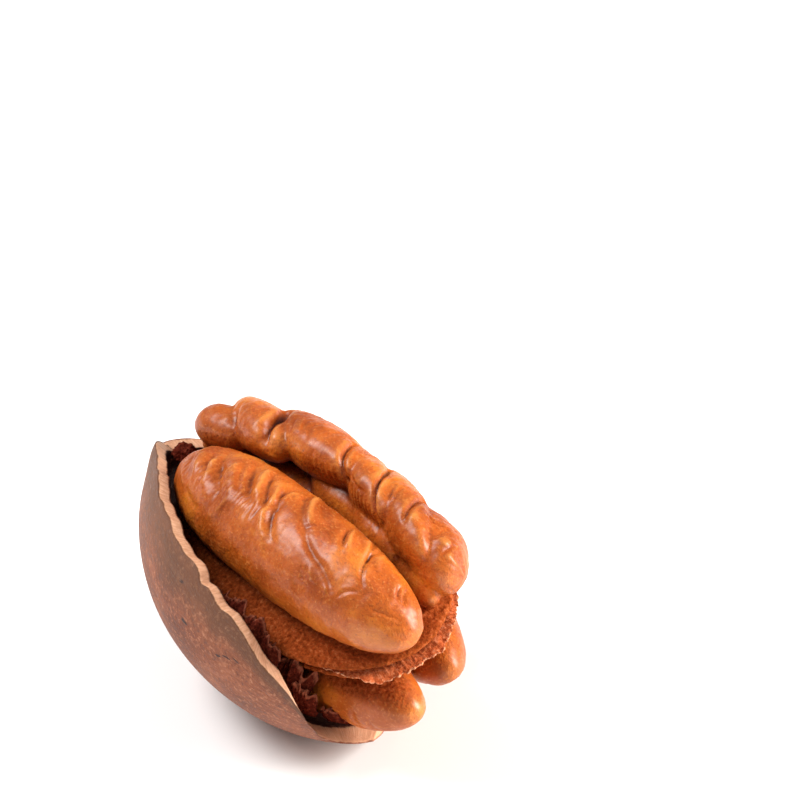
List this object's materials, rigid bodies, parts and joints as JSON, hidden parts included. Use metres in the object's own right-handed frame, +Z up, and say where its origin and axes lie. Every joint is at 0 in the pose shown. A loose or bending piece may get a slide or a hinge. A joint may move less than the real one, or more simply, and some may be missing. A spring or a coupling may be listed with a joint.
{
  "type": "pecan in husk",
  "caption": "Opened pecan nut: the wrinkled kernel's halves, with the papery septum between them, lying in a broken, pointed piece of shell.",
  "frame": {"origin": "centre of the small flat spot under the shell, where the nut rests", "axes": "+Z up from the rest spot, +X along the nut from the shell's pointed apex to the broken base end, where the kernel sticks out"},
  "size_m": [0.0385, 0.0257, 0.0238],
  "materials": {
    "shell": "matte, brown outside and dark red-brown inside",
    "kernel": "waxy satin, golden orange-brown",
    "septum": "matte, papery",
    "packing": "matte, corky"
  },
  "bodies": {
    "root": {"shell": "shell", "kernel_upper_half": "kernel", "kernel_lower_half": "kernel", "septum": "septum", "packing_flap": "packing", "packing_strip": "packing", "packing_crumb": "packing"}
  },
  "joints": []
}
